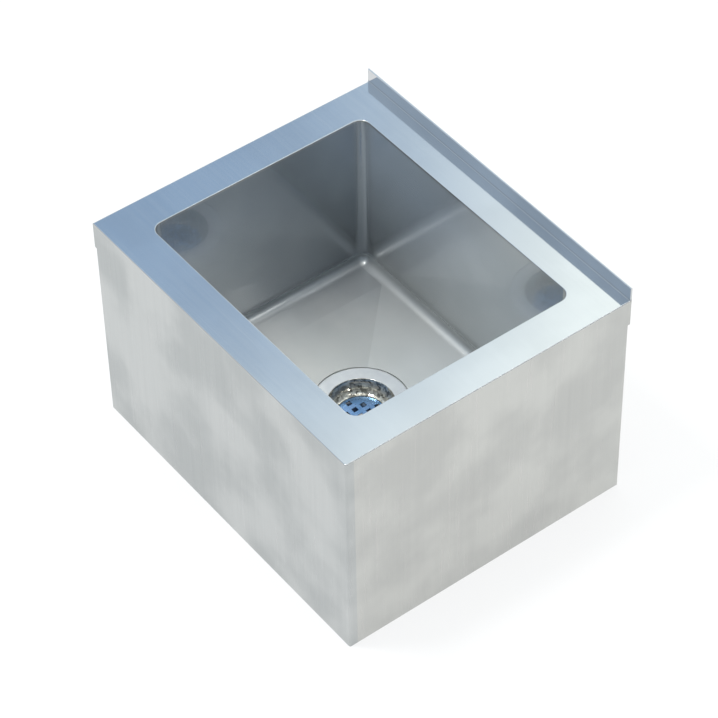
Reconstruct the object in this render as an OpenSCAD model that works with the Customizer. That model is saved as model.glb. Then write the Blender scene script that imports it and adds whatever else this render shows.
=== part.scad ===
// Floor-standing stainless mop sink with a deep coved bowl and a centre drain.
// Millimetres, +Z up. Origin on the floor, in the middle of the footprint.
// The front faces -Y, the turned-up flange is along +Y.

/* [Deck] */
// Width of the deck from left to right
deck_w = 635; // [600:5:700]
// Depth of the deck from front to rear
deck_d = 533.4; // [500:0.1:600]
// Height of the deck above the floor
deck_h = 406.4; // [390:0.1:500]
// Thickness of the stainless sheet
sheet_t = 1.6; // [1.2:0.1:2]
// Height of the folded flange along the rear edge
flange_h = 25.4; // [12:0.1:80]
// Drop of the left and rear lips below the deck
lip_drop = 50.8; // [30:0.1:80]
// Height of the hem folded up inside the lips
hem_h = 14; // [8:1:22]
// Set-back of the left and rear skirts from the outside of the lips
skirt_inset = 4.5; // [4.2:0.1:8]
// Outside radius of the bend along the left edge
bend_r = 2.4; // [2.1:0.1:4]
// Inside radius of the bend between the deck and the rear flange
flange_bend_r = 1; // [0.5:0.1:1.2]
// Round-over of the ground edges of the deck
edge_round = 1.1; // [0.4:0.1:1.1]

/* [Bowl] */
// Inside width of the bowl
bowl_w = 508; // [440:1:550]
// Inside depth of the bowl from front to rear
bowl_d = 406.4; // [360:0.1:440]
// Depth of the bowl at the foot of its side walls
bowl_depth = 304.8; // [250:0.1:312]
// Radius of the coved corners and of the cove round the floor
cove_r = 19; // [10:0.5:40]
// Fall of the floor from its border to the middle
floor_fall = 11; // [4:0.1:14]

/* [Skirts] */
// Outside radius of the front right corner bend
corner_bend_r = 3; // [2.2:0.1:5]
// Length of the front panel's return round the front right corner
corner_return = 12; // [6:1:30]
// Width of the inward flange on the floor, outside to edge
floor_return = 19; // [12:1:24]

/* [Frame] */
// Leg length of the corner angles
angle_leg = 32; // [20:1:34]
// Thickness of the corner angles
angle_t = 2.5; // [2:0.1:3]
// Outside radius of the corner angles
angle_r = 4; // [3.5:0.1:6]
// Edge length of the foot plates
foot_l = 60; // [54:1:80]
// Straight part of each free edge of the foot plates
foot_edge = 25; // [18:1:35]
// Thickness of the foot plates
foot_t = 3; // [2:0.1:5]
// Distance of the anchor hole from the skirts
anchor_in = 32; // [30:1:34]
// Diameter of the anchor holes
anchor_d = 10; // [6:0.5:12]
// Distance of the support channels in from the edge of the pitched floor
channel_in = 14.2; // [2:0.1:24]
// Width of the top of the support channels
channel_w = 40; // [30:1:50]
// Height of the support channels
channel_h = 26; // [18:1:40]
// Width of the foot flanges of the support channels
channel_flange = 15; // [8:1:18]
// Thickness of the support channels
channel_t = 2; // [1.5:0.1:3]
// Thinnest part of the rubber strips on the channels
pad_t = 3; // [1.5:0.1:5]

/* [Drain] */
// Radius of the drain flange
ring_r = 78.7; // [75:0.1:85]
// Thickness of the drain flange
ring_t = 2; // [1.5:0.1:3]
// Radius of the mouth of the cup
mouth_r = 54.4; // [48:0.1:56]
// Round-over of the mouth of the cup
mouth_round = 1.2; // [0.5:0.1:1.4]
// Wall between the cup's mouth and the threaded shank
cup_wall = 3; // [2:0.1:4]
// Depth of the cup from its flange to the grid
cup_depth = 28; // [20:1:36]
// Radius of the pocket that holds the grid
pocket_r = 42; // [40:0.5:44]
// Radius of the throat below the grid
throat_r = 36; // [32:0.5:38]
// Outside diameter of the 2 in outlet pipe
pipe_d = 60.3; // [50:0.1:62]
// Wall of the outlet pipe
pipe_t = 3.9; // [2.5:0.1:5]
// Length of the outlet pipe below the drain body
outlet_l = 18.5; // [8:0.5:24]
// Thickness of the seal under the drain flange
seal_t = 0.8; // [0.5:0.1:1.5]
// Thickness of the rubber gasket
gasket_t = 3; // [2:0.1:5]
// Thickness of the fibre washer
washer_t = 1.5; // [1:0.1:2]
// Width of the gasket and washer rings
gasket_w = 14; // [10:0.5:16]
// Thickness of the locknut
nut_t = 12; // [8:0.5:14]
// Width of the locknut's ring
nut_w = 10; // [8:0.5:13]
// Number of slots in the locknut
nut_slots = 8; // [4:1:12]

/* [Strainer grid] */
// Thickness of the grid
grid_t = 2.5; // [1.5:0.1:4]
// Width of the square holes
grid_hole = 9; // [6:0.1:11]
// Pitch of the holes
grid_pitch = 16.5; // [13:0.1:18]
// Least margin from the holes to the grid's edge
grid_margin = 2.6; // [1.5:0.1:6]
// Height of the turned-down rim of the grid
grid_rim = 1; // [0.5:0.1:1.5]

/* [Hidden] */
$fn = 96;
// Overrun of every cut
cut = 1;
// Number of flats on the curved wall of the cup
cup_steps = 10;

// Outside faces of the sink
left_x = -deck_w / 2;
right_x = deck_w / 2;
front_y = -deck_d / 2;
back_y = deck_d / 2;
deck_z = deck_h - sheet_t;

// Inside faces of the skirts
left_in = left_x + skirt_inset + sheet_t;
right_in = right_x - sheet_t;
front_in = front_y + sheet_t;
back_in = back_y - skirt_inset - sheet_t;

// Open hem at the foot of the lips, as thick as the set-back
hem_r = skirt_inset / 2;
// Overlap of the rear edge on the flat of the deck
deck_lap = 10;
// Inside end of the bend between the deck and the rear flange
flange_foot = 2 * sheet_t + flange_bend_r;

// The floor falls from its border, a square as wide as the bowl is deep, to the middle
floor_rim = deck_h - bowl_depth;
floor_c = floor_rim - floor_fall;
pitch_half = bowl_d / 2 - cove_r;
floor_slope = floor_fall / pitch_half;
floor_normal = sqrt(1 + floor_slope * floor_slope);

// Drain levels, from the top down: the flange is level with the lowest floor round it
ring_gap = 0.8;
seat_r = ring_r + ring_gap;
ring_top = floor_c + floor_slope * seat_r / sqrt(2);
ring_z = ring_top - ring_t;
seat_z = ring_z - seal_t;
shank_r = mouth_r + cup_wall;
shank_gap = 0.5;
hole_r = shank_r + shank_gap;
thread_gap = 0.2;
gasket_z = seat_z - sheet_t - gasket_t;
washer_z = gasket_z - washer_t;
nut_z = washer_z - nut_t;
ledge_z = ring_top - cup_depth - grid_t;
ledge_t = 3;
shank_z = ledge_z - ledge_t;
pocket_rise = 1.5;
pocket_z = ledge_z + grid_t + pocket_rise;
throat_l = 5;
cone_l = 10;
neck_l = 6;
socket_l = 16;
bore_r = pipe_d / 2 - pipe_t;
// Threaded end of the outlet pipe, inside the socket
thread_depth = 0.8;
thread_r = pipe_d / 2 - thread_depth;
socket_r = thread_r + thread_gap;
cone_z = ledge_z - throat_l - cone_l;
socket_z = cone_z - neck_l;
body_z = socket_z - socket_l;
outlet_z = body_z - outlet_l;
boss_wall = 6;
boss_r = pipe_d / 2 + boss_wall;
body_cone_l = 18;
ring_edge = 0.8;
ring_edge_w = 2;

// Grid and its seat
grid_gap = 0.6;
grid_r = pocket_r - grid_gap;
grid_lift = 0.25;
grid_z = ledge_z + grid_lift;
grid_rim_w = 1.5;
grid_n = floor(grid_r / grid_pitch);

nut_slot_w = 9;
nut_slot_d = 4;

function floor_z(d) = floor_c + floor_slope * d;
function underside_z(d) = floor_z(d) - sheet_t * floor_normal;

// Support channels and the rubber strips on them, both inside the pitched floor
channel_far = pitch_half - channel_in;
channel_near = channel_far - channel_w;
channel_top = underside_z(channel_near) - pad_t;
pad_l = 2 * (channel_near - pad_t);

steel = [0.78, 0.80, 0.82];
steel_blue = [0.66, 0.73, 0.81];
galvanised = [0.62, 0.65, 0.67];
rubber = [0.13, 0.13, 0.14];
fibre = [0.52, 0.30, 0.18];
brass = [0.75, 0.62, 0.32];
chrome = [0.85, 0.87, 0.89];

// Runs a section in X and Z along Y
module along_y(y0, y1, x, z) {
  translate([x, y1, z]) rotate([90, 0, 0]) linear_extrude(y1 - y0) children();
}

// Runs a section in Y and Z along X
module along_x(x0, x1, y, z) {
  translate([x0, y, z]) rotate([90, 0, 90]) linear_extrude(x1 - x0) children();
}

// Rounds the corner of a plane outline that lies at the origin
module corner_cutter(r) {
  difference() {
    translate([-cut, -cut]) square(r + cut);
    translate([r, r]) circle(r);
  }
}

// Quarter of a bent sheet, centred on the bend, in the quadrant below and left
module quarter_bend(r) {
  intersection() {
    difference() {
      circle(r);
      circle(r - sheet_t);
    }
    translate([-r, -r]) square(r);
  }
}

// Open hem at the foot of a lip, measured inwards from its outside face
module hem_profile() {
  translate([hem_r, hem_r - lip_drop]) intersection() {
    difference() {
      circle(hem_r);
      circle(hem_r - sheet_t);
    }
    translate([-hem_r, -hem_r]) square([skirt_inset, hem_r]);
  }
  translate([skirt_inset - sheet_t, hem_r - lip_drop]) square([sheet_t, hem_h]);
}

// Left lip and the bend at its top
module lip_profile() {
  translate([0, hem_r - lip_drop]) square([sheet_t, lip_drop - hem_r - bend_r]);
  translate([bend_r, -bend_r]) mirror([0, 1]) quarter_bend(bend_r);
}

// Folded flange and lip of the rear edge, measured inwards from the rear
module rear_profile() {
  hem_profile();
  translate([0, hem_r - lip_drop]) square([sheet_t, lip_drop - hem_r + flange_h - sheet_t]);
  translate([sheet_t, flange_bend_r]) square([sheet_t, flange_h - sheet_t - flange_bend_r]);
  intersection() {
    translate([sheet_t, flange_h - sheet_t]) circle(sheet_t);
    translate([0, flange_h - sheet_t]) square([2 * sheet_t, sheet_t]);
  }
  translate([flange_foot, flange_bend_r]) quarter_bend(flange_bend_r + sheet_t);
  translate([flange_foot, -sheet_t]) square([deck_lap, sheet_t]);
}

module rounded_rect(w, d, r) {
  for (sx = [-1, 1]) {
    for (sy = [-1, 1]) {
      translate([sx * (w / 2 - r), sy * (d / 2 - r)]) circle(r);
    }
  }
  square([w - 2 * r, d], center = true);
  square([w, d - 2 * r], center = true);
}

// Section that rounds an edge over, with the edge at the origin
module round_over_profile() {
  difference() {
    translate([-cut, -edge_round]) square([cut + edge_round, edge_round + cut]);
    translate([edge_round, -edge_round]) circle(edge_round);
  }
}

// Rounds over the edge of the bowl opening
module opening_round_over() {
  r = cove_r;
  flat_x = bowl_w / 2 - r;
  flat_y = bowl_d / 2 - r;
  for (turn = [0, 180]) {
    rotate(turn) {
      along_y(-flat_y, flat_y, bowl_w / 2, deck_h) round_over_profile();
      along_x(-flat_x, flat_x, bowl_d / 2, deck_h) round_over_profile();
      translate([flat_x, flat_y, deck_h])
        rotate_extrude(angle = 90) translate([r, 0]) round_over_profile();
      translate([-flat_x, flat_y, deck_h]) rotate(90)
        rotate_extrude(angle = 90) translate([r, 0]) round_over_profile();
    }
  }
}

// Rounds over the front and right edges of the deck and their shared corner
module outer_round_over() {
  r = corner_bend_r;
  along_x(left_x - cut, right_x - r, front_y, deck_h) round_over_profile();
  along_y(front_y + r, back_y - flange_foot, right_x, deck_h) mirror([1, 0]) round_over_profile();
  translate([right_x - r, front_y + r, deck_h]) rotate(-90)
    rotate_extrude(angle = 90) translate([r, 0]) mirror([1, 0]) round_over_profile();
}

module top_deck() {
  color(steel_blue) difference() {
    union() {
      along_y(front_y, back_in, left_x, deck_h) hem_profile();
      along_y(front_y, back_y - sheet_t, left_x, deck_h) lip_profile();
      translate([left_x + bend_r, front_y, deck_z])
        cube([deck_w - bend_r, deck_d - flange_foot, sheet_t]);
      along_x(left_x, right_x, back_y, deck_h) mirror([1, 0]) rear_profile();
    }
    translate([0, 0, deck_z - cut])
      linear_extrude(sheet_t + 2 * cut) rounded_rect(bowl_w, bowl_d, cove_r);
    opening_round_over();
    outer_round_over();
    along_y(front_y - cut, back_y - flange_foot, left_x, deck_h)
      mirror([0, 1]) corner_cutter(bend_r);
    translate([right_x, front_y, deck_z - cut]) mirror([1, 0])
      linear_extrude(sheet_t + 2 * cut) corner_cutter(corner_bend_r);
    // Ends of the lips, covered by the tabs of the front and right panels
    translate([left_x - cut, front_y - cut, deck_h - lip_drop - cut])
      cube([deck_w + 2 * cut, sheet_t + cut, lip_drop - sheet_t + cut]);
    translate([right_in, back_in - cut, deck_h - lip_drop - cut])
      cube([sheet_t + cut, back_y - back_in + 2 * cut, lip_drop - sheet_t + cut]);
  }
}

// Section across the pitched part of the floor, moved down by sink
module pitch_section(half, sink) {
  polygon([
    [-half, floor_rim + cut], [-half, floor_z(half) - sink], [0, floor_c - sink],
    [half, floor_z(half) - sink], [half, floor_rim + cut]
  ]);
}

// Solid bounded by the bowl's walls, coves and pitched floor, swollen outwards by grow
module bowl_form(top, grow) {
  r = cove_r + grow;
  x = bowl_w / 2 - cove_r;
  y = bowl_d / 2 - cove_r;
  cove_z = floor_rim + cove_r;
  half = pitch_half + grow * (floor_normal - 1) / floor_slope;
  sink = grow * floor_normal;
  // Four planes that fall to the middle
  intersection() {
    along_y(-half, half, 0, 0) pitch_section(half, sink);
    along_x(-half, half, 0, 0) pitch_section(half, sink);
  }
  // Flat border of the floor and the straight walls
  translate([-x, -y, cove_z - r]) cube([2 * x, 2 * y, top - cove_z + r]);
  translate([-x - r, -y, cove_z]) cube([2 * (x + r), 2 * y, top - cove_z]);
  translate([-x, -y - r, cove_z]) cube([2 * x, 2 * (y + r), top - cove_z]);
  for (side = [-1, 1]) {
    translate([side * x, -y, cove_z]) rotate([-90, 0, 0]) cylinder(h = 2 * y, r = r);
    translate([-x, side * y, cove_z]) rotate([0, 90, 0]) cylinder(h = 2 * x, r = r);
    for (end = [-1, 1]) {
      translate([side * x, end * y, cove_z]) {
        cylinder(h = top - cove_z, r = r);
        sphere(r);
      }
    }
  }
}

module bowl() {
  color(steel) difference() {
    union() {
      bowl_form(deck_z, sheet_t);
      translate([0, 0, seat_z - sheet_t])
        cylinder(h = floor_z(seat_r) - seat_z + sheet_t, r = seat_r + sheet_t);
    }
    bowl_form(deck_z + cut, 0);
    translate([0, 0, seat_z]) cylinder(h = bowl_depth, r = seat_r);
    translate([0, 0, seat_z - sheet_t - cut]) cylinder(h = sheet_t + 2 * cut, r = hole_r);
  }
}

// Front panel with its return round the right corner and its tab over the left lip
module front_skirt() {
  color(steel) difference() {
    union() {
      linear_extrude(deck_z) {
        translate([left_x, front_y]) square([deck_w - corner_bend_r, sheet_t]);
        translate([right_x - corner_bend_r, front_y + corner_bend_r])
          mirror([1, 0]) quarter_bend(corner_bend_r);
        translate([right_in, front_y + corner_bend_r]) square([sheet_t, corner_return]);
      }
      translate([left_in, front_y + sheet_t / 2, 0])
        cube([right_in - left_in, floor_return - sheet_t / 2, sheet_t]);
    }
    translate([left_x - cut, front_y - cut, -cut])
      cube([skirt_inset + cut, sheet_t + 2 * cut, deck_h - lip_drop + cut]);
  }
}

// Right panel with its tab over the end of the rear lip
module right_skirt() {
  start_y = front_y + corner_bend_r + corner_return;
  return_y = front_y + floor_return;
  color(steel) union() {
    translate([right_in, start_y, 0])
      cube([sheet_t, back_y - skirt_inset - start_y, deck_z]);
    translate([right_in, back_in, deck_h - lip_drop])
      cube([sheet_t, back_y - back_in, lip_drop - sheet_t]);
    translate([right_x - floor_return, return_y, 0])
      cube([floor_return - sheet_t / 2, back_in + sheet_t - floor_return - return_y, sheet_t]);
  }
}

// Left panel, set in behind the left lip
module left_skirt() {
  return_y = front_y + floor_return;
  color(steel) union() {
    translate([left_in - sheet_t, front_in, 0])
      cube([sheet_t, back_in + sheet_t - front_in, deck_z]);
    translate([left_in - sheet_t / 2, return_y, 0])
      cube([floor_return - sheet_t / 2, back_in + sheet_t - floor_return - return_y, sheet_t]);
  }
}

// Rear panel, set in behind the rear lip
module back_skirt() {
  color(steel) union() {
    translate([left_in, back_in, 0]) cube([right_in - left_in, sheet_t, deck_z]);
    translate([left_in, back_in + sheet_t - floor_return, 0])
      cube([right_in - left_in, floor_return - sheet_t / 2, sheet_t]);
  }
}

// Corner angle on its foot plate, with the skirts' corner at the origin
module corner_angle() {
  foot_z = sheet_t;
  leg_z = foot_z + foot_t;
  color(galvanised) difference() {
    union() {
      translate([0, 0, foot_z]) linear_extrude(foot_t) difference() {
        polygon([
          [0, 0], [foot_l, 0], [foot_l, foot_edge], [foot_edge, foot_l], [0, foot_l]
        ]);
        corner_cutter(angle_r);
      }
      translate([0, 0, leg_z - foot_t / 2]) linear_extrude(deck_z - leg_z + foot_t / 2)
        difference() {
          square(angle_leg);
          corner_cutter(angle_r);
          difference() {
            translate([angle_t, angle_t]) square(angle_leg);
            translate([angle_t, angle_t]) corner_cutter(angle_r - angle_t);
          }
        }
    }
    translate([anchor_in, anchor_in, foot_z - cut]) cylinder(h = foot_t + 2 * cut, d = anchor_d);
  }
}

module corner_angle_front_left() {
  translate([left_in, front_in]) corner_angle();
}

module corner_angle_front_right() {
  translate([right_in, front_in]) mirror([1, 0, 0]) corner_angle();
}

module corner_angle_back_left() {
  translate([left_in, back_in]) mirror([0, 1, 0]) corner_angle();
}

module corner_angle_back_right() {
  translate([right_in, back_in]) rotate(180) corner_angle();
}

// Hat channel under the bowl floor, welded to the front and rear panels
module support_channel(side) {
  half = channel_w / 2;
  foot = half + channel_flange;
  x = side * (channel_near + half);
  color(galvanised) along_y(front_in, back_in, x, channel_top - channel_h)
    difference() {
      union() {
        translate([-half, 0]) square([channel_w, channel_h]);
        translate([-foot, 0]) square([2 * foot, channel_t]);
      }
      translate([channel_t - half, -cut])
        square([channel_w - 2 * channel_t, channel_h - channel_t + cut]);
    }
}

module support_channel_left() {
  support_channel(-1);
}

module support_channel_right() {
  support_channel(1);
}

// Rubber strip whose top follows the pitch of the bowl floor
module support_pad() {
  color(rubber) along_y(-pad_l / 2, pad_l / 2, 0, 0) polygon([
    [channel_near, channel_top], [channel_far, channel_top],
    [channel_far, underside_z(channel_far)], [channel_near, underside_z(channel_near)]
  ]);
}

module support_pad_left() {
  mirror([1, 0, 0]) support_pad();
}

module support_pad_right() {
  support_pad();
}

// Hollow of the drain, from the mouth of the cup to the outlet socket
module drain_hollow() {
  wall_h = ring_top - mouth_round - pocket_z;
  wall = [
    for (i = [0:cup_steps])
      let (turn = 90 * i / cup_steps)
      [
        pocket_r + (mouth_r - pocket_r) * cos(turn),
        pocket_z + wall_h * (1 - sin(turn))
      ]
  ];
  polygon(concat(
    [
      [0, body_z - cut], [socket_r, body_z - cut], [socket_r, socket_z],
      [bore_r, socket_z], [bore_r, cone_z], [throat_r, ledge_z - throat_l],
      [throat_r, ledge_z], [pocket_r, ledge_z]
    ],
    [for (i = [cup_steps:-1:0]) wall[i]],
    [[mouth_r, ring_top + cut], [0, ring_top + cut]]
  ));
  difference() {
    translate([mouth_r - cut, ring_top - mouth_round]) square([mouth_round + cut, mouth_round + cut]);
    translate([mouth_r + mouth_round, ring_top - mouth_round]) circle(mouth_round);
  }
}

// Flanged drain body with its polished cup and outlet socket
module drain_body() {
  color(chrome) rotate_extrude() difference() {
    polygon([
      [0, body_z], [boss_r, body_z], [boss_r, shank_z - body_cone_l], [shank_r, shank_z],
      [shank_r, ring_z], [ring_r, ring_z], [ring_r, ring_top - ring_edge],
      [ring_r - ring_edge_w, ring_top], [0, ring_top]
    ]);
    drain_hollow();
  }
}

// Flat ring with its lower face at the height z
module ring(z, h, inner, outer) {
  translate([0, 0, z]) difference() {
    cylinder(h = h, r = outer);
    translate([0, 0, -cut]) cylinder(h = h + 2 * cut, r = inner);
  }
}

module flange_seal() {
  color(rubber) ring(seat_z, seal_t, hole_r, ring_r - ring_edge);
}

module drain_gasket() {
  color(rubber) ring(gasket_z, gasket_t, shank_r + thread_gap, shank_r + gasket_w);
}

module friction_washer() {
  color(fibre) ring(washer_z, washer_t, shank_r + thread_gap, shank_r + gasket_w);
}

// Slotted ring nut that draws the drain down onto the bowl
module drain_locknut() {
  nut_r = shank_r + nut_w;
  color(brass) difference() {
    ring(nut_z, nut_t, shank_r + thread_gap, nut_r);
    for (i = [0:nut_slots - 1]) {
      rotate(i * 360 / nut_slots) translate([nut_r - nut_slot_d, -nut_slot_w / 2, nut_z - cut])
        cube([nut_slot_d + cut, nut_slot_w, nut_t + 2 * cut]);
    }
  }
}

// Short outlet pipe, screwed into the socket of the drain body
module outlet_nipple() {
  color(steel) difference() {
    union() {
      translate([0, 0, outlet_z]) cylinder(h = outlet_l, d = pipe_d);
      translate([0, 0, outlet_z]) cylinder(h = socket_z - outlet_z, r = thread_r);
    }
    translate([0, 0, outlet_z - cut]) cylinder(h = socket_z - outlet_z + 2 * cut, r = bore_r);
  }
}

// Round grid with square holes, lying loose on the ledge of the cup
module strainer_grid() {
  reach = grid_r - grid_margin;
  half = grid_hole / 2;
  color(chrome) difference() {
    union() {
      translate([0, 0, grid_z + grid_rim]) cylinder(h = grid_t - grid_rim, r = grid_r);
      ring(grid_z, grid_t / 2 + grid_rim / 2, grid_r - grid_rim_w, grid_r);
    }
    for (i = [-grid_n:grid_n]) {
      for (j = [-grid_n:grid_n]) {
        far = norm([abs(i) * grid_pitch + half, abs(j) * grid_pitch + half]);
        if (far <= reach) {
          translate([i * grid_pitch - half, j * grid_pitch - half, grid_z])
            cube([grid_hole, grid_hole, grid_t + cut]);
        }
      }
    }
  }
}

top_deck();
bowl();
front_skirt();
right_skirt();
left_skirt();
back_skirt();
corner_angle_front_left();
corner_angle_front_right();
corner_angle_back_left();
corner_angle_back_right();
support_channel_left();
support_channel_right();
support_pad_left();
support_pad_right();
drain_body();
flange_seal();
drain_gasket();
friction_washer();
drain_locknut();
outlet_nipple();
strainer_grid();
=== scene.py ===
import math
from collections import namedtuple

import bpy
from mathutils import Matrix, Vector


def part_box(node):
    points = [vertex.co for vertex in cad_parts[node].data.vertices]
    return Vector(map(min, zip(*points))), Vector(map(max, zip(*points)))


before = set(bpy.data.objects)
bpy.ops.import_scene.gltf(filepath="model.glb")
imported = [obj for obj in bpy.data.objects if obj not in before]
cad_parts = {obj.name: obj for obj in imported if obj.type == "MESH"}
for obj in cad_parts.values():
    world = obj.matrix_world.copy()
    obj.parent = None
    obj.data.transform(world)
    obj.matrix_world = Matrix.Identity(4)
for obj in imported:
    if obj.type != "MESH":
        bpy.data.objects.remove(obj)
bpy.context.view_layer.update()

# Photograph and camera, fitted to the corners of the sink in the picture
IMAGE_SIDE = 718
FOCAL_PIXELS = 3069.9
SENSOR_WIDTH = 36.0
CAMERA_PLACE = Vector((2.6569, -1.9825, 3.6135))
CAMERA_AIM = Vector((0.0031, -0.0046, 0.2))
CAMERA_ROLL = math.radians(-1.15)

# Studio floor: its half side, its paint, and how much of its own light shows to the camera
FLOOR_HALF = 12.0
FLOOR_WHITE = (0.86, 0.86, 0.86, 1)
FLOOR_GLOW_SHARE = 0.78

# Disk light above the sink
SOFTBOX_TOWARDS = Vector((-0.12, -0.30, 0.94))
SOFTBOX_DISTANCE = 3.2
SOFTBOX_SIZE = 0.5
SOFTBOX_POWER = 50.0

# Sky: bright to the left, dim to the right, and white near the horizon
SKY_BRIGHT = (1.46, 1.56, 1.52, 1)
SKY_DIM = (0.40, 0.48, 0.56, 1)
SKY_TURN_X = (-0.35, 0.35)
SKY_LOW = (1.0, 1.0, 1.0, 1)
SKY_LOW_Z = (0.02, 0.42)

# Soft patches of the sky: where each one is, its outer and inner half angles, and its colour
SKY_PATCHES = (
    ((-0.60, -0.45, 0.66), 50.0, 14.0, (0.64, 0.79, 0.96, 1)),
    ((-0.661, 0.372, 0.652), 11.5, 0.5, (0.40, 0.57, 0.80, 1)),
    ((-0.06, -0.10, 0.99), 31.0, 10.0, (2.2, 2.2, 2.1, 1)),
)

# High window at the rear right: the span of its turn from the X axis, the sines of its lower and
# upper height, and its soft edge
WINDOW_LIGHT = (5.0, 5.0, 4.85, 1)
WINDOW_TURN = (math.radians(4), math.radians(73))
WINDOW_HEIGHT = (math.sin(math.radians(41)), math.sin(math.radians(51)))
WINDOW_SOFT = 0.03

# Places on the sink that a finish follows, in metres: the bowl, the drain and the deck
BOWL_FLOOR_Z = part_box("flange_seal")[1].z
BOWL_LEFT_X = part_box("bowl")[0].x
BOWL_COVE = 0.019
GRID_SEAT_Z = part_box("strainer_grid")[0].z
FLANGE_RISE = 0.0254
DECK_TOP_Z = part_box("top_deck")[1].z - FLANGE_RISE
CUP_RADIUS = 0.0545
CUP_EDGE = 0.0015
THROAT_RADIUS = 0.0365
THROAT_EDGE = 0.001
SEAT_EDGE = 0.0008

# Noise scales along X, Y and Z that draw a grain upright, or along X
UPRIGHT = (1.0, 1.0, 0.012)
ALONG_X = (0.012, 1.0, 1.0)

# Noise patterns: waves in a metre, octaves, roughness, and how far from the middle values are used
Pattern = namedtuple("Pattern", "waves octaves roughness reach")
NOISE_MIDDLE = 0.5
SHEET_CLOUDS = Pattern(7.0, 3.0, 0.5, 0.14)
SHEET_LINES = Pattern(420.0, 3.0, 0.6, 0.2)
SHEET_BANDS = Pattern(90.0, 2.0, 0.5, 0.2)
BOWL_CLOUDS = Pattern(9.0, 3.0, 0.5, 0.14)
BOWL_LINES = Pattern(900.0, 2.0, 0.6, 0.15)
BOWL_SCRATCHES = Pattern(1600.0, 2.0, 0.6, 0.15)
DRAIN_SPOTS = Pattern(60.0, 4.0, 0.6, 0.15)
DRAIN_POLISH = Pattern(700.0, 3.0, 0.6, 0.2)
GRID_SPOTS = Pattern(60.0, 4.0, 0.6, 0.15)
PIPE_SPOTS = Pattern(40.0, 4.0, 0.6, 0.15)
BRASS_SPOTS = Pattern(50.0, 4.0, 0.6, 0.15)
RUBBER_GRAIN = Pattern(500.0, 4.0, 0.65, 0.2)
FIBRE_GRAIN = Pattern(700.0, 4.0, 0.65, 0.2)

# Share of the clouds in a sheet's tone; the rest is its grain
CLOUD_SHARE = 0.7

# Cells in a metre: the spangle of the zinc, and the light and dark patches of the painted
# reflection of the strainer grid in the drain cup
ZINC_CELLS = 130.0
CUP_REFLECTION_CELLS = 210.0

# Darker and lighter tone of each finish
DECK_TONES = (0.56, 0.574, 0.588, 1), (0.62, 0.634, 0.648, 1)
# The front and right tones are one steel with painted light and shade: the front and left skirts
# darker and cooler as painted shade, the right and back skirts lighter and warmer as painted light
FRONT_SHADED_TONES = (0.42, 0.44, 0.44, 1), (0.57, 0.585, 0.58, 1)
RIGHT_LIT_TONES = (0.50, 0.505, 0.49, 1), (0.62, 0.625, 0.60, 1)
BOWL_FLOOR_TONES = (0.455, 0.465, 0.452, 1), (0.50, 0.505, 0.487, 1)
# Floor tone away from the drain: darker, as painted shade towards the walls and corners
BOWL_FLOOR_SHADE_TONES = (0.32, 0.335, 0.345, 1), (0.36, 0.37, 0.375, 1)
BOWL_WALL_TONES = (0.385, 0.405, 0.405, 1), (0.425, 0.445, 0.445, 1)
# Upper walls: lighter and bluer, as a painted sky reflection
BOWL_TOP_REFLECTION_TONES = (0.60, 0.67, 0.75, 1), (0.64, 0.71, 0.79, 1)
# Left wall: darker, as painted shade, and darker still towards its top
BOWL_LEFT_SHADE_TONES = (0.212, 0.235, 0.262, 1), (0.243, 0.266, 0.290, 1)
BOWL_LEFT_TOP_SHADE_TONES = (0.160, 0.182, 0.210, 1), (0.190, 0.212, 0.240, 1)
FLANGE_TONES = (0.56, 0.58, 0.60, 1), (0.62, 0.64, 0.65, 1)
# Drain cup: light and dark patches, as a painted reflection of the strainer grid
CUP_REFLECTION_TONES = (0.14, 0.135, 0.12, 1), (0.78, 0.76, 0.68, 1)
# Strainer grid: blue, as a painted reflection of a blue sky
GRID_REFLECTION_TONES = (0.16, 0.30, 0.53, 1), (0.22, 0.36, 0.59, 1)
PIPE_TONES = (0.46, 0.48, 0.50, 1), (0.58, 0.60, 0.62, 1)
BRASS_TONES = (0.58, 0.40, 0.16, 1), (0.70, 0.52, 0.24, 1)
ZINC_TONES = (0.42, 0.45, 0.47, 1), (0.56, 0.58, 0.60, 1)
RUBBER_TONES = (0.012, 0.012, 0.013, 1), (0.03, 0.03, 0.032, 1)
SEAL_TONES = (0.17, 0.175, 0.18, 1), (0.23, 0.235, 0.24, 1)
FIBRE_TONES = (0.16, 0.06, 0.03, 1), (0.26, 0.11, 0.06, 1)

# Tones of the rear facet of the bowl floor, lighter as painted light, of the drain's throat,
# darker as painted shade, and of sheet edges, darker as painted shade that dims their highlight
REAR_FACET_PAINTED_LIGHT = (0.62, 0.64, 0.63, 1)
THROAT_SHADE_TONE = (0.10, 0.14, 0.21, 1)
EDGE_SHADE_TONE = (0.41, 0.42, 0.43, 1)

# Roughness of each finish, at the low and at the high values of its pattern
DECK_POLISH = (0.06, 0.12)
PANEL_POLISH = (0.26, 0.38)
WALL_POLISH = (0.20, 0.24)
FLOOR_POLISH = (0.34, 0.46)
CUP_POLISH = (0.02, 0.06)
GRID_POLISH = (0.31, 0.21)
PIPE_POLISH = (0.36, 0.24)
BRASS_POLISH = (0.34, 0.22)
ZINC_POLISH = (0.32, 0.5)
RUBBER_POLISH = (0.67, 0.83)
FIBRE_POLISH = (0.72, 0.88)

# Roughness that the satin drain flange has over the cup
FLANGE_DULLING = 0.3

# How metallic the bowl's walls and floor and the drain's cup and flange are
WALL_METAL = 0.74
FLOOR_METAL = 0.5
CUP_METAL = 0.6
FLANGE_METAL = 0.35

# Electropolished skin of the bowl
BOWL_COAT = 0.6
BOWL_COAT_IOR = 1.6
BOWL_COAT_ROUGHNESS = 0.03

# Depths of the fine relief, in metres, and the share of it that shows
DECK_RELIEF = 0.000002
PANEL_RELIEF = 0.00001
GRID_RELIEF = 0.00001
TURNED_RELIEF = 0.00005
SOFT_RELIEF = 0.0003
RELIEF_SHARE = 0.5

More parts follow.
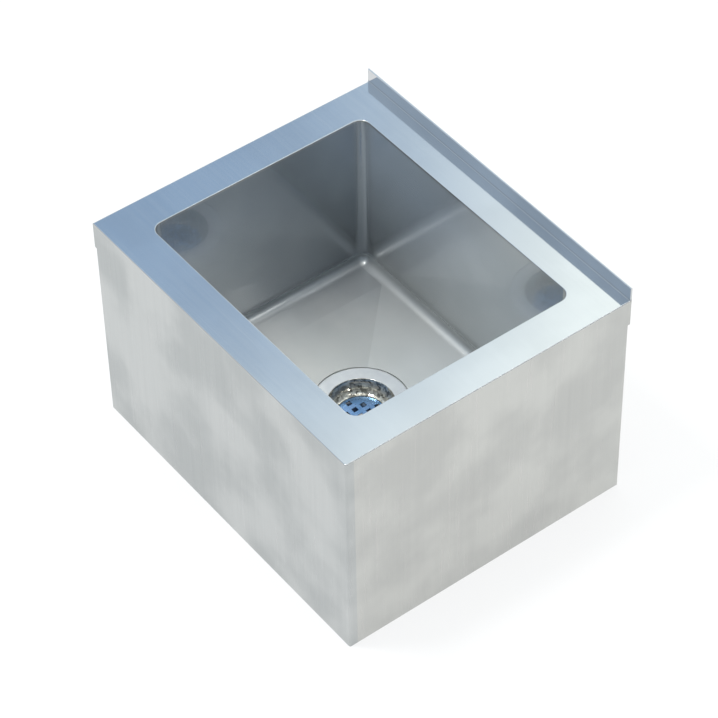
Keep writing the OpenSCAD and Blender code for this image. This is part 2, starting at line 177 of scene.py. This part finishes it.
# How many times finer the relief of plain metal is than its spots
FINER = 9.0

# Heights in the bowl, as shares of the cove: from where to where the satin and the floor tone fade
SATIN_SHARES = (1.6, 0.7)
FLOOR_TONE_SHARES = (0.85, 0.55)

# Where the bowl's painted light and shade change: the floor's painted shade away from the drain;
# the height up the walls of the painted sky reflection, and of the deeper painted shade on the
# left wall;
# from left to right, where that reflection fades to its share on the right; and the left wall's
# painted shade at the left corner
FLOOR_SHADE_REACH = (0.11, 0.30)
TOP_TONE_Z = (0.13, 0.34)
TOP_REFLECTION_X = (-0.12, 0.22)
TOP_REFLECTION_RIGHT_SHARE = 0.0
LEFT_SHADE_OFFSETS = (-0.008, 0.029)

# Edges and bends of the deck sheet, darkened by painted shade that dims their highlight: how far
# from its top face they start and end
EDGE_START = 0.0002
EDGE_END = 0.0025

# Upper edge of the bowl, darkened by painted shade that dims its highlight: how far below the
# deck's top face its band of painted shade starts and ends
UPPER_EDGE_SHADE_OFFSETS = (-0.006, -0.003)

# Rear facet of the bowl floor, lightened as painted light: how far its face leans forward, and how
# much it is lightened
REAR_FACET_LEAN = (-0.01, -0.03)
REAR_FACET_SHARE = 0.24

# Sockets of a Mix node: for colours, and for plain values
COLOR_A, COLOR_B, COLOR_RESULT = 6, 7, 2
VALUE_A, VALUE_B, VALUE_RESULT = 2, 3, 0


def make_camera():
    data = bpy.data.cameras.new("camera")
    data.sensor_width = SENSOR_WIDTH
    data.lens = FOCAL_PIXELS * SENSOR_WIDTH / IMAGE_SIDE
    camera = bpy.data.objects.new("camera", data)
    bpy.context.scene.collection.objects.link(camera)
    aim = (CAMERA_AIM - CAMERA_PLACE).to_track_quat("-Z", "Y").to_matrix().to_4x4()
    roll = Matrix.Rotation(CAMERA_ROLL, 4, "Z")
    camera.matrix_world = Matrix.Translation(CAMERA_PLACE) @ aim @ roll
    bpy.context.scene.camera = camera


class Tree:
    """Short forms for the nodes of one material or world."""

    def __init__(self, tree):
        self.tree = tree
        tree.nodes.clear()

    def node(self, kind, **settings):
        made = self.tree.nodes.new(kind)
        for key, value in settings.items():
            setattr(made, key, value)
        return made

    def link(self, source, target):
        self.tree.links.new(source, target)

    def put(self, socket, value):
        if isinstance(value, bpy.types.NodeSocket):
            self.link(value, socket)
        else:
            socket.default_value = value

    def place(self):
        """Position on the sink, in metres."""
        return self.node("ShaderNodeTexCoord").outputs["Object"]

    def parts(self, vector):
        """The X, Y and Z of a vector."""
        made = self.node("ShaderNodeSeparateXYZ")
        self.link(vector, made.inputs[0])
        return made.outputs

    def scaled(self, vector, scale):
        made = self.node("ShaderNodeMapping")
        self.link(vector, made.inputs["Vector"])
        made.inputs["Scale"].default_value = scale
        return made.outputs["Vector"]

    def noise(self, vector, pattern):
        made = self.node("ShaderNodeTexNoise")
        self.link(vector, made.inputs["Vector"])
        made.inputs["Scale"].default_value = pattern.waves
        made.inputs["Detail"].default_value = pattern.octaves
        made.inputs["Roughness"].default_value = pattern.roughness
        return made.outputs["Fac"]

    def cells(self, vector, scale, distance="EUCLIDEAN"):
        """Two random values of each cell of a Voronoi pattern."""
        made = self.node("ShaderNodeTexVoronoi", distance=distance)
        self.link(vector, made.inputs["Vector"])
        made.inputs["Scale"].default_value = scale
        split = self.node("ShaderNodeSeparateColor")
        self.link(made.outputs["Color"], split.inputs[0])
        return split.outputs[0], split.outputs[1]

    def ranged(self, value, span, target=(0.0, 1.0), smooth=False):
        """A value's span, stretched over the target."""
        made = self.node("ShaderNodeMapRange")
        made.interpolation_type = "SMOOTHSTEP" if smooth else "LINEAR"
        self.link(value, made.inputs["Value"])
        made.inputs["From Min"].default_value, made.inputs["From Max"].default_value = span
        made.inputs["To Min"].default_value, made.inputs["To Max"].default_value = target
        return made.outputs["Result"]

    def spread(self, value, pattern, target=(0.0, 1.0), smooth=False):
        """The middle values of a pattern, stretched over the target."""
        span = (NOISE_MIDDLE - pattern.reach, NOISE_MIDDLE + pattern.reach)
        return self.ranged(value, span, target, smooth)

    def math(self, operation, *values):
        made = self.node("ShaderNodeMath", operation=operation)
        for socket, value in zip(made.inputs, values):
            self.put(socket, value)
        return made.outputs[0]

    def across(self, x, y):
        """Distance from the upright axis of the drain."""
        squares = self.math("ADD", self.math("MULTIPLY", x, x), self.math("MULTIPLY", y, y))
        return self.math("SQRT", squares)

    def mixed(self, share, a, b):
        made = self.node("ShaderNodeMix", data_type="RGBA")
        self.put(made.inputs["Factor"], share)
        self.put(made.inputs[COLOR_A], a)
        self.put(made.inputs[COLOR_B], b)
        return made.outputs[COLOR_RESULT]

    def blended(self, share, a, b):
        made = self.node("ShaderNodeMix", data_type="FLOAT")
        self.link(share, made.inputs["Factor"])
        self.link(a, made.inputs[VALUE_A])
        self.link(b, made.inputs[VALUE_B])
        return made.outputs[VALUE_RESULT]

    def bump(self, height, depth):
        made = self.node("ShaderNodeBump")
        made.inputs["Strength"].default_value = RELIEF_SHARE
        made.inputs["Distance"].default_value = depth
        self.link(height, made.inputs["Height"])
        return made.outputs["Normal"]


def make_world():
    world = bpy.data.worlds.new("studio")
    bpy.context.scene.world = world
    world.use_nodes = True
    t = Tree(world.node_tree)
    direction = t.node("ShaderNodeTexCoord").outputs["Generated"]
    x, y, z = t.parts(direction)

    def towards(aim, outer, inner):
        dot = t.node("ShaderNodeVectorMath", operation="DOT_PRODUCT")
        t.link(direction, dot.inputs[0])
        dot.inputs[1].default_value = Vector(aim).normalized()
        span = (math.cos(math.radians(outer)), math.cos(math.radians(inner)))
        return t.ranged(dot.outputs["Value"], span, smooth=True)

    def between(value, span):
        low, high = span
        rise = t.ranged(value, (low - WINDOW_SOFT, low + WINDOW_SOFT), smooth=True)
        fall = t.ranged(value, (high + WINDOW_SOFT, high - WINDOW_SOFT), smooth=True)
        return t.math("MULTIPLY", rise, fall)

    sky = t.mixed(t.ranged(x, SKY_TURN_X, smooth=True), SKY_BRIGHT, SKY_DIM)
    for aim, outer, inner, colour in SKY_PATCHES:
        sky = t.mixed(towards(aim, outer, inner), sky, colour)
    turn = t.math("ARCTAN2", y, x)
    window = t.math("MULTIPLY", between(turn, WINDOW_TURN), between(z, WINDOW_HEIGHT))
    sky = t.mixed(window, sky, WINDOW_LIGHT)
    sky = t.mixed(t.ranged(z, SKY_LOW_Z, smooth=True), SKY_LOW, sky)
    background = t.node("ShaderNodeBackground")
    t.link(sky, background.inputs["Color"])
    out = t.node("ShaderNodeOutputWorld")
    t.link(background.outputs[0], out.inputs["Surface"])


def make_floor():
    mesh = bpy.data.meshes.new("floor")
    h = FLOOR_HALF
    mesh.from_pydata([(-h, -h, 0), (h, -h, 0), (h, h, 0), (-h, h, 0)], [], [(0, 1, 2, 3)])
    floor = bpy.data.objects.new("floor", mesh)
    bpy.context.scene.collection.objects.link(floor)
    material = bpy.data.materials.new("pale_floor")
    material.use_nodes = True
    t = Tree(material.node_tree)
    diffuse = t.node("ShaderNodeBsdfDiffuse")
    diffuse.inputs["Color"].default_value = FLOOR_WHITE
    glow = t.node("ShaderNodeEmission")
    path = t.node("ShaderNodeLightPath").outputs
    seen = t.math("MAXIMUM", path["Is Camera Ray"], path["Is Glossy Ray"])
    seen = t.math("MAXIMUM", seen, path["Is Transmission Ray"])
    mix = t.node("ShaderNodeMixShader")
    t.link(t.math("MULTIPLY", seen, FLOOR_GLOW_SHARE), mix.inputs[0])
    t.link(diffuse.outputs[0], mix.inputs[1])
    t.link(glow.outputs[0], mix.inputs[2])
    out = t.node("ShaderNodeOutputMaterial")
    t.link(mix.outputs[0], out.inputs["Surface"])
    mesh.materials.append(material)


def make_softbox():
    data = bpy.data.lights.new("softbox", "AREA")
    data.shape = "DISK"
    data.size = SOFTBOX_SIZE
    data.energy = SOFTBOX_POWER
    lamp = bpy.data.objects.new("softbox", data)
    bpy.context.scene.collection.objects.link(lamp)
    away = SOFTBOX_TOWARDS.normalized()
    turn = (-away).to_track_quat("-Z", "Y").to_matrix().to_4x4()
    lamp.matrix_world = Matrix.Translation(CAMERA_AIM + away * SOFTBOX_DISTANCE) @ turn


def new_finish(name):
    """An empty material with its main shader; returns the material, its tree and the shader."""
    material = bpy.data.materials.new(name)
    material.use_nodes = True
    t = Tree(material.node_tree)
    shader = t.node("ShaderNodeBsdfPrincipled")
    out = t.node("ShaderNodeOutputMaterial")
    t.link(shader.outputs[0], out.inputs["Surface"])
    return material, t, shader


def sheet_steel(name, tones, polish, grain, relief, top_z=None):
    """Stainless sheet with cloudy tone, fine grain lines and an uneven polish.

    With top_z, the height of its top face, the edges and bends beside that face are darkened by
    painted shade that dims their highlight.
    """
    material, t, shader = new_finish(name)
    place = t.place()
    grain_place = t.scaled(place, grain)
    clouds = t.spread(t.noise(place, SHEET_CLOUDS), SHEET_CLOUDS, smooth=True)
    lines = t.noise(grain_place, SHEET_LINES)
    bands = t.noise(grain_place, SHEET_BANDS)
    cloud_part = t.math("MULTIPLY", clouds, CLOUD_SHARE)
    band_part = t.math("MULTIPLY", bands, 1 - CLOUD_SHARE)
    tone = t.mixed(t.math("ADD", cloud_part, band_part), *tones)
    # Painted shade: the edges and bends beside the top face are darkened to dim their highlight
    if top_z is not None:
        z = t.parts(place)["Z"]
        near = t.math("COMPARE", z, top_z, EDGE_END)
        flat = t.math("COMPARE", z, top_z, EDGE_START)
        tone = t.mixed(t.math("SUBTRACT", near, flat), tone, EDGE_SHADE_TONE)
    t.link(tone, shader.inputs["Base Color"])
    shader.inputs["Metallic"].default_value = 1.0
    t.link(t.spread(lines, SHEET_LINES, polish), shader.inputs["Roughness"])
    t.link(t.bump(lines, relief), shader.inputs["Normal"])
    return material


def bowl_steel():
    """Drawn bowl: polished walls and a satin floor, under one electropolished skin."""
    material, t, shader = new_finish("bowl_steel")
    place = t.place()
    x, y, z = t.parts(place)

    def cove_band(shares):
        return [BOWL_FLOOR_Z + BOWL_COVE * share for share in shares]

    satin = t.ranged(z, cove_band(SATIN_SHARES), smooth=True)
    lines = t.noise(t.scaled(place, UPRIGHT), BOWL_LINES)
    scratches = t.noise(place, BOWL_SCRATCHES)
    wall_polish = t.spread(lines, BOWL_LINES, WALL_POLISH)
    floor_polish = t.spread(scratches, BOWL_SCRATCHES, FLOOR_POLISH)
    t.link(t.blended(satin, wall_polish, floor_polish), shader.inputs["Roughness"])
    t.link(t.ranged(satin, (0.0, 1.0), (WALL_METAL, FLOOR_METAL)), shader.inputs["Metallic"])

    clouds = t.spread(t.noise(place, BOWL_CLOUDS), BOWL_CLOUDS, smooth=True)
    # Painted shade: the floor darkens away from the drain, towards the walls and corners
    floor_shade = t.ranged(t.across(x, y), FLOOR_SHADE_REACH, smooth=True)
    floor = t.mixed(floor_shade, t.mixed(clouds, *BOWL_FLOOR_TONES), t.mixed(clouds, *BOWL_FLOOR_SHADE_TONES))
    # Painted light: the floor's rear facet, found by the lean of its face, is lightened
    lean = t.parts(t.node("ShaderNodeNewGeometry").outputs["True Normal"])["Y"]
    rear_facet_light = t.ranged(lean, REAR_FACET_LEAN, (0.0, REAR_FACET_SHARE))
    floor = t.mixed(rear_facet_light, floor, REAR_FACET_PAINTED_LIGHT)
    # Painted sky reflection: the upper walls lighter and bluer, fading towards the right
    up = t.ranged(z, TOP_TONE_Z)
    top = t.math("MULTIPLY", up, t.ranged(x, TOP_REFLECTION_X, (1.0, TOP_REFLECTION_RIGHT_SHARE)))
    wall = t.mixed(top, t.mixed(clouds, *BOWL_WALL_TONES), t.mixed(clouds, *BOWL_TOP_REFLECTION_TONES))
    # Painted shade: the left wall darker, and darker still towards its top
    right_of_left = t.ranged(x, [BOWL_LEFT_X + offset for offset in LEFT_SHADE_OFFSETS])
    left = t.mixed(up, t.mixed(clouds, *BOWL_LEFT_SHADE_TONES), t.mixed(clouds, *BOWL_LEFT_TOP_SHADE_TONES))
    wall = t.mixed(right_of_left, left, wall)
    tone = t.mixed(t.ranged(z, cove_band(FLOOR_TONE_SHARES)), wall, floor)
    # Painted shade: a dark band along the bowl's upper edge dims its highlight
    upper_edge_shade = t.ranged(z, [DECK_TOP_Z + offset for offset in UPPER_EDGE_SHADE_OFFSETS])
    tone = t.mixed(upper_edge_shade, tone, EDGE_SHADE_TONE)
    t.link(tone, shader.inputs["Base Color"])
    shader.inputs["Coat Weight"].default_value = BOWL_COAT
    shader.inputs["Coat IOR"].default_value = BOWL_COAT_IOR
    shader.inputs["Coat Roughness"].default_value = BOWL_COAT_ROUGHNESS
    return material


def drain_steel():
    """Cast drain body: a satin flange round a cup with light and dark patches painted as a
    reflection of the strainer grid, and a throat darkened by painted shade.
    """
    material, t, shader = new_finish("drain_steel")
    place = t.place()
    x, y, z = t.parts(place)
    across = t.across(x, y)
    satin = t.ranged(across, (CUP_RADIUS, CUP_RADIUS + CUP_EDGE), smooth=True)
    inside = t.ranged(across, (THROAT_RADIUS + THROAT_EDGE, THROAT_RADIUS))
    below = t.ranged(z, (GRID_SEAT_Z, GRID_SEAT_Z - SEAT_EDGE))
    # Painted reflection of the strainer grid: light and dark patches on the cup
    reflection_patch, _ = t.cells(place, CUP_REFLECTION_CELLS, "CHEBYCHEV")
    cup = t.mixed(reflection_patch, *CUP_REFLECTION_TONES)
    flange = t.mixed(t.spread(t.noise(place, DRAIN_SPOTS), DRAIN_SPOTS), *FLANGE_TONES)
    tone = t.mixed(satin, cup, flange)
    # Painted shade: the throat below the grid seat is darkened
    tone = t.mixed(t.math("MULTIPLY", inside, below), tone, THROAT_SHADE_TONE)
    t.link(tone, shader.inputs["Base Color"])
    t.link(t.ranged(satin, (0.0, 1.0), (CUP_METAL, FLANGE_METAL)), shader.inputs["Metallic"])
    fine = t.spread(t.noise(place, DRAIN_POLISH), DRAIN_POLISH, CUP_POLISH)
    dulling = t.math("MULTIPLY", satin, FLANGE_DULLING)
    t.link(t.math("ADD", fine, dulling), shader.inputs["Roughness"])
    return material


def plain_metal(name, tones, polish, pattern, relief):
    """Cast, drawn or coated metal with a mottled tone and no grain."""
    material, t, shader = new_finish(name)
    place = t.place()
    spots = t.noise(place, pattern)
    t.link(t.mixed(t.spread(spots, pattern, smooth=True), *tones), shader.inputs["Base Color"])
    shader.inputs["Metallic"].default_value = 1.0
    t.link(t.spread(spots, pattern, polish), shader.inputs["Roughness"])
    fine = t.noise(place, pattern._replace(waves=pattern.waves * FINER))
    t.link(t.bump(fine, relief), shader.inputs["Normal"])
    return material


def zinc_coat():
    """Galvanised steel with its faint spangle."""
    material, t, shader = new_finish("galvanised_steel")
    tone, gloss = t.cells(t.place(), ZINC_CELLS)
    t.link(t.mixed(tone, *ZINC_TONES), shader.inputs["Base Color"])
    shader.inputs["Metallic"].default_value = 1.0
    t.link(t.ranged(gloss, (0.0, 1.0), ZINC_POLISH), shader.inputs["Roughness"])
    return material


def soft_solid(name, tones, polish, pattern):
    """Rubber or pressed fibre with a faint grain."""
    material, t, shader = new_finish(name)
    grain = t.noise(t.place(), pattern)
    t.link(t.mixed(t.spread(grain, pattern), *tones), shader.inputs["Base Color"])
    t.link(t.spread(grain, pattern, polish), shader.inputs["Roughness"])
    t.link(t.bump(grain, SOFT_RELIEF), shader.inputs["Normal"])
    return material


def dress(material, *names):
    for name in names:
        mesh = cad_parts[name].data
        mesh.materials.clear()
        mesh.materials.append(material)


bpy.context.scene.view_settings.view_transform = "Standard"
make_camera()
make_world()
make_floor()
make_softbox()

dress(
    sheet_steel("deck_steel", DECK_TONES, DECK_POLISH, ALONG_X, DECK_RELIEF, DECK_TOP_Z),
    "top_deck",
)
dress(bowl_steel(), "bowl")
# Painted shade on the front and left skirts, painted light on the right and back skirts
dress(
    sheet_steel("front_steel_painted_shade", FRONT_SHADED_TONES, PANEL_POLISH, UPRIGHT, PANEL_RELIEF),
    "front_skirt",
    "left_skirt",
)
dress(
    sheet_steel("right_steel_painted_light", RIGHT_LIT_TONES, PANEL_POLISH, UPRIGHT, PANEL_RELIEF),
    "right_skirt",
    "back_skirt",
)
dress(drain_steel(), "drain_body")
# The grid's blue is a painted reflection of the sky
dress(
    plain_metal("grid_painted_sky_reflection", GRID_REFLECTION_TONES, GRID_POLISH, GRID_SPOTS, GRID_RELIEF),
    "strainer_grid",
)
dress(
    plain_metal("pipe_steel", PIPE_TONES, PIPE_POLISH, PIPE_SPOTS, TURNED_RELIEF),
    "outlet_nipple",
)
dress(
    plain_metal("turned_brass", BRASS_TONES, BRASS_POLISH, BRASS_SPOTS, TURNED_RELIEF),
    "drain_locknut",
)
dress(
    zinc_coat(),
    "corner_angle_front_left",
    "corner_angle_front_right",
    "corner_angle_back_left",
    "corner_angle_back_right",
    "support_channel_left",
    "support_channel_right",
)
dress(
    soft_solid("black_rubber", RUBBER_TONES, RUBBER_POLISH, RUBBER_GRAIN),
    "support_pad_left",
    "support_pad_right",
)
dress(
    soft_solid("grey_rubber", SEAL_TONES, RUBBER_POLISH, RUBBER_GRAIN),
    "flange_seal",
    "drain_gasket",
)
dress(soft_solid("red_fibre", FIBRE_TONES, FIBRE_POLISH, FIBRE_GRAIN), "friction_washer")
